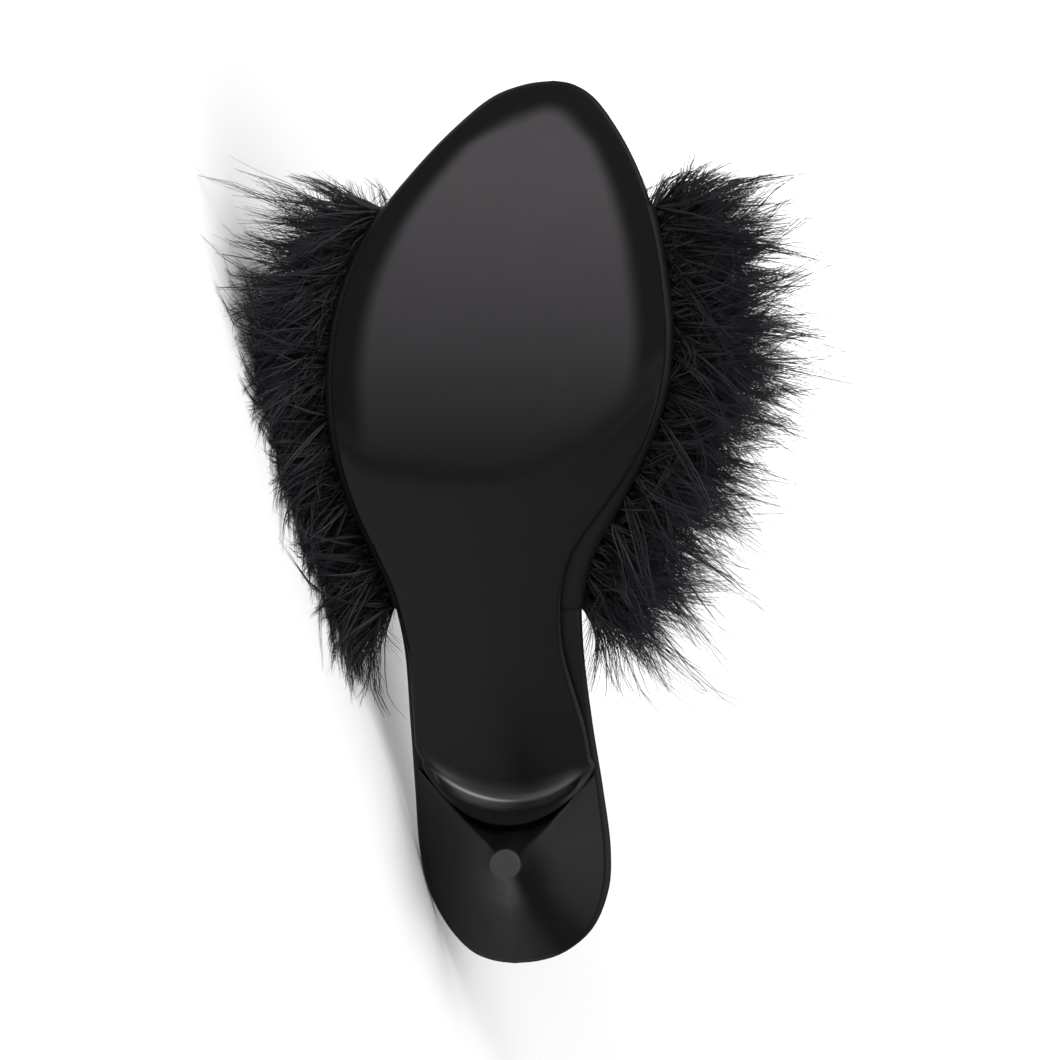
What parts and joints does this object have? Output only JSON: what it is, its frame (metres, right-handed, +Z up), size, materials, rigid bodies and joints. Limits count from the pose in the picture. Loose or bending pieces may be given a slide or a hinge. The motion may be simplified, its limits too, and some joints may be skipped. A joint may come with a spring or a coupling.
{
  "type": "marabou slipper",
  "caption": "Women's right kitten-heel mule, open toe and back, its forefoot band covered in black marabou down, lying on its outer side with the sole showing.",
  "frame": {"origin": "centre of the bounding box's bottom face, on the floor that the shoe lies on", "axes": "+Z up from the floor, -X towards the toe and +X towards the heel, -Y the way the sole faces"},
  "size_m": [0.234, 0.1026, 0.1516],
  "materials": {
    "sole_leather": "black sole leather, buffed matte under the forefoot and satin in the waist",
    "heel_lacquer": "glossy black lacquer",
    "top_piece_rubber": "matte dark grey",
    "lining_leather": "smooth satin black",
    "band_leather": "smooth satin black",
    "marabou_down": "soft black down with a faint blue sheen"
  },
  "bodies": {
    "root": {"outsole": "sole_leather", "heel": "heel_lacquer", "top_piece": "top_piece_rubber", "insole": "lining_leather", "upper_band": "band_leather", "marabou_throat_strip": "marabou_down", "marabou_instep_strip": "marabou_down", "marabou_ball_strip": "marabou_down", "marabou_toe_strip": "marabou_down"}
  },
  "joints": []
}
